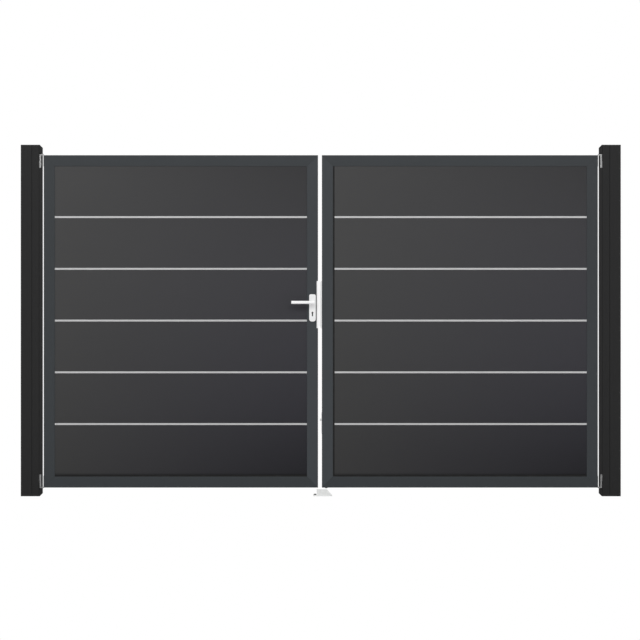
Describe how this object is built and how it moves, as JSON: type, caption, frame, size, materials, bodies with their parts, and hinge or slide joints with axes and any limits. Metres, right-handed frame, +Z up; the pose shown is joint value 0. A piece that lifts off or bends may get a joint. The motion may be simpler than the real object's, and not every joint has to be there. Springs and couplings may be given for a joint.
{
  "type": "double gate",
  "caption": "Double-leaf driveway gate with horizontal boards and metal strips between two posts, with a lever lock, a drop bolt and a floor stop.",
  "frame": {"origin": "centre of the underside of the left post's foot, as seen from the front", "axes": "+X from the left post to the right post, +Y to the rear, away from the viewer of the picture, +Z up"},
  "size_m": [3.249, 0.1505, 1.9035],
  "materials": {
    "post_coating": "matt black powder coat",
    "post_end": "matt black",
    "frame_coating": "fine-textured anthracite powder coat",
    "board": "matt anthracite",
    "strip": "satin anodised",
    "gasket": "matt black",
    "hinge_metal": "satin",
    "lock_metal": "satin",
    "bolt_metal": "blackened",
    "stop_coating": "pale grey coating"
  },
  "bodies": {
    "posts": {"left_post": "post_coating", "left_post_cap": "post_end", "left_post_foot": "post_end", "left_hinge_rail": "post_coating", "left_hinge_pins": "hinge_metal", "right_post": "post_coating", "right_post_cap": "post_end", "right_post_foot": "post_end", "right_hinge_rail": "post_coating", "right_hinge_pins": "hinge_metal", "floor_stop": "stop_coating"},
    "left_leaf": {"left_hinge_stile": "frame_coating", "left_meeting_stile": "frame_coating", "left_top_rail": "frame_coating", "left_bottom_rail": "frame_coating", "left_board_1": "board", "left_board_2": "board", "left_board_3": "board", "left_board_4": "board", "left_board_5": "board", "left_board_6": "board", "left_strips": "strip", "left_gasket": "gasket", "left_leaf_hinges": "hinge_metal", "front_lock_plate": "lock_metal", "rear_lock_plate": "lock_metal", "lock_forend": "lock_metal"},
    "right_leaf": {"right_hinge_stile": "frame_coating", "right_meeting_stile": "frame_coating", "right_top_rail": "frame_coating", "right_bottom_rail": "frame_coating", "right_board_1": "board", "right_board_2": "board", "right_board_3": "board", "right_board_4": "board", "right_board_5": "board", "right_board_6": "board", "right_strips": "strip", "right_gasket": "gasket", "right_leaf_hinges": "hinge_metal", "lock_keep": "lock_metal", "drop_bolt_plate": "bolt_metal"},
    "lever": {"front_lever": "lock_metal", "rear_lever": "lock_metal"},
    "drop_bolt": {"drop_bolt": "bolt_metal"}
  },
  "joints": [
    {"name": "left_leaf_swing", "type": "hinge", "parent": "posts", "child": "left_leaf", "pos_m": [0.0565, -0.044, 0.947], "axis": [0, 0, -1], "range_deg": [0, 90]},
    {"name": "right_leaf_swing", "type": "hinge", "parent": "posts", "child": "right_leaf", "pos_m": [3.0925, -0.044, 0.947], "axis": [0, 0, 1], "range_deg": [0, 90]},
    {"name": "lever_turn", "type": "hinge", "parent": "left_leaf", "child": "lever", "pos_m": [1.5295, -0.03, 1.05], "axis": [0, -1, 0], "range_deg": [0, 40], "stiffness_Nm_per_rad": 1, "springref_deg": -34.38},
    {"name": "drop_bolt_slide", "type": "slide", "parent": "right_leaf", "child": "drop_bolt", "axis": [0, 0, -1], "range_m": [0, 0.035]}
  ]
}
